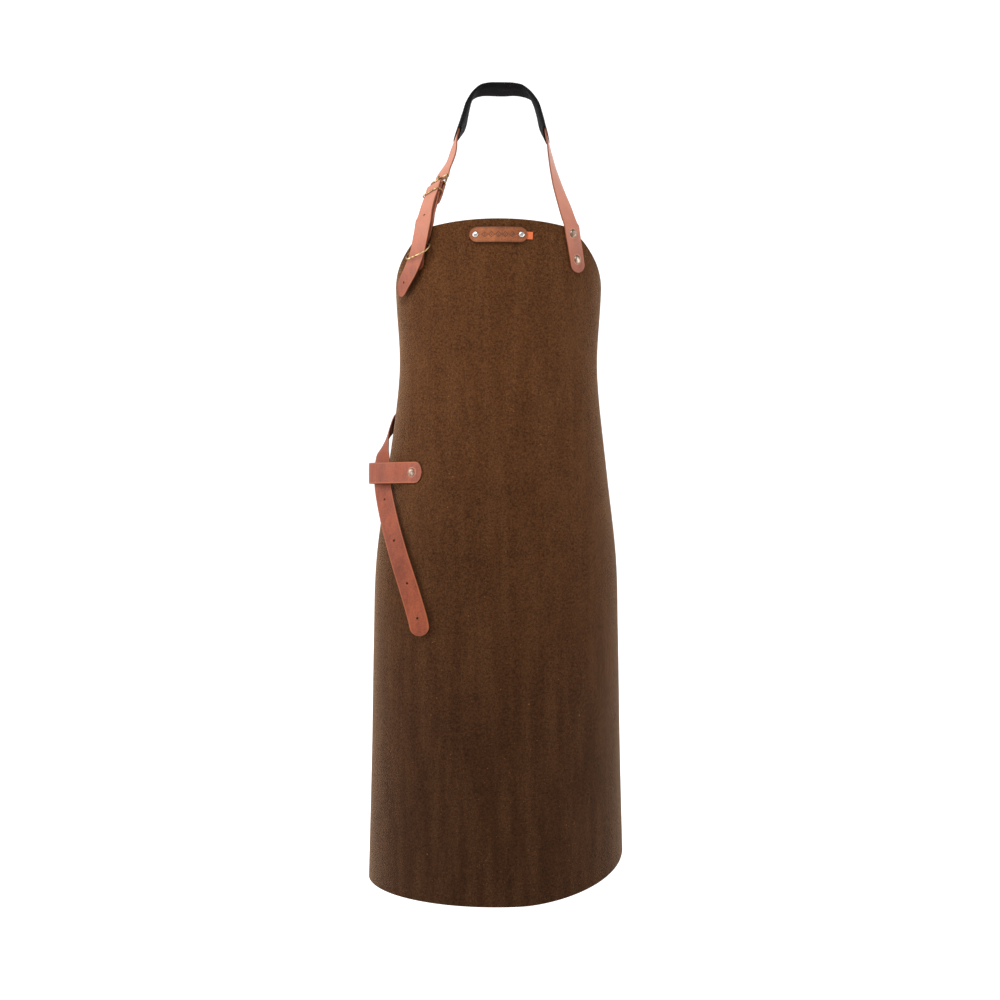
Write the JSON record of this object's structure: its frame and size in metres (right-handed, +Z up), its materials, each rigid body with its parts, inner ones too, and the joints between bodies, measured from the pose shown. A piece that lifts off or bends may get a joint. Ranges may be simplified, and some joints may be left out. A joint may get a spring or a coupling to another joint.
{
  "type": "apron",
  "caption": "Full-length leather apron with riveted tan neck loop and waist belt, each closed by a prong buckle, a padded neck sleeve, ring keeper, belt loop tab and oval label.",
  "frame": {"origin": "middle of the under face of the neck pad, where a neck or a peg carries the apron", "axes": "+Z up; the front of the apron faces -Y; +X is to the right of someone who looks at the front"},
  "size_m": [0.4006, 0.319, 1.2636],
  "materials": {
    "panel_leather": "dark brown nubuck, matte, fine grain",
    "tan_leather": "tan vegetable-tanned leather, satin, paler rubbed edges",
    "label_leather": "light brown leather, debossed border",
    "tag_fabric": "orange woven tag",
    "pad_fabric": "black woven sleeve, matte",
    "rivet_metal": "worn nickel caps",
    "buckle_brass": "aged brass wire"
  },
  "bodies": {
    "apron": {"apron_panel": "panel_leather", "label_patch": "label_leather", "label_tag": "tag_fabric", "neck_pad": "pad_fabric", "neck_strap": "tan_leather", "neck_buckle_strap": "tan_leather", "waist_belt": "tan_leather", "waist_buckle_strap": "tan_leather", "waist_loop_tab": "tan_leather", "label_left_rivet_cap": "rivet_metal", "label_left_rivet_washer": "rivet_metal", "label_right_rivet_cap": "rivet_metal", "label_right_rivet_washer": "rivet_metal", "neck_fold_rivet_cap": "rivet_metal", "neck_fold_rivet_washer": "rivet_metal", "bib_left_rivet_1_cap": "rivet_metal", "bib_left_rivet_1_washer": "rivet_metal", "bib_left_rivet_2_cap": "rivet_metal", "bib_left_rivet_2_washer": "rivet_metal", "bib_right_rivet_1_cap": "rivet_metal", "bib_right_rivet_1_washer": "rivet_metal", "bib_right_rivet_2_cap": "rivet_metal", "bib_right_rivet_2_washer": "rivet_metal", "waist_fold_rivet_cap": "rivet_metal", "waist_fold_rivet_washer": "rivet_metal", "waist_right_rivet_1_cap": "rivet_metal", "waist_right_rivet_1_washer": "rivet_metal", "waist_right_rivet_2_cap": "rivet_metal", "waist_right_rivet_2_washer": "rivet_metal", "waist_left_rivet_1_cap": "rivet_metal", "waist_left_rivet_1_washer": "rivet_metal", "waist_left_rivet_2_cap": "rivet_metal", "waist_left_rivet_2_washer": "rivet_metal", "tab_front_rivet_cap": "rivet_metal", "tab_front_rivet_washer": "rivet_metal", "tab_rear_rivet_cap": "rivet_metal", "tab_rear_rivet_washer": "rivet_metal"},
    "neck_strap_tail": {"neck_strap_tail": "tan_leather"},
    "waist_belt_tail": {"waist_belt_tail": "tan_leather"},
    "neck_buckle_frame": {"neck_buckle_frame": "buckle_brass"},
    "neck_buckle_prong": {"neck_buckle_prong": "buckle_brass"},
    "neck_wire_keeper": {"neck_wire_keeper": "buckle_brass"},
    "neck_ring_keeper": {"neck_ring_keeper": "buckle_brass"},
    "waist_buckle_frame": {"waist_buckle_frame": "buckle_brass"},
    "waist_buckle_prong": {"waist_buckle_prong": "buckle_brass"},
    "waist_wire_keeper": {"waist_wire_keeper": "buckle_brass"}
  },
  "joints": [
    {"name": "neck_frame_tilt", "type": "hinge", "parent": "apron", "child": "neck_buckle_frame", "pos_m": [-0.092, -0.146, -0.187], "axis": [0.7512, -0.5921, 0.2918], "range_deg": [-1, 6]},
    {"name": "neck_prong_lift", "type": "hinge", "parent": "neck_buckle_frame", "child": "neck_buckle_prong", "pos_m": [-0.092, -0.146, -0.187], "axis": [0.7512, -0.5921, 0.2918], "range_deg": [0, 5]},
    {"name": "neck_keeper_slide", "type": "slide", "parent": "apron", "child": "neck_wire_keeper", "axis": [0.1702, 0.6008, 0.7811], "range_m": [-0.004, 0.004]},
    {"name": "neck_ring_lift", "type": "hinge", "parent": "apron", "child": "neck_ring_keeper", "pos_m": [-0.11587, -0.18325, -0.285], "axis": [-0.7513, 0.623, -0.2179], "range_deg": [0, 45]},
    {"name": "neck_tail_bend", "type": "hinge", "parent": "apron", "child": "neck_strap_tail", "pos_m": [-0.12849, -0.18377, -0.31334], "axis": [-0.6143, 0.5783, 0.5368], "range_deg": [0, 30], "stiffness_Nm_per_rad": 0.02},
    {"name": "waist_frame_tilt", "type": "hinge", "parent": "apron", "child": "waist_buckle_frame", "pos_m": [-0.122, 0.072, -0.534], "axis": [0, 0, 1], "range_deg": [0, 6]},
    {"name": "waist_prong_lift", "type": "hinge", "parent": "waist_buckle_frame", "child": "waist_buckle_prong", "pos_m": [-0.122, 0.072, -0.534], "axis": [0, 0, 1], "range_deg": [0, 5]},
    {"name": "waist_keeper_slide", "type": "slide", "parent": "apron", "child": "waist_wire_keeper", "axis": [0.8645, 0.5026, 0], "range_m": [-0.003, 0.004]},
    {"name": "waist_tail_swing", "type": "hinge", "parent": "apron", "child": "waist_belt_tail", "pos_m": [-0.17577, -0.13196, -0.63947], "axis": [-0.8361, 0.3972, -0.3784], "range_deg": [0, 45]}
  ]
}
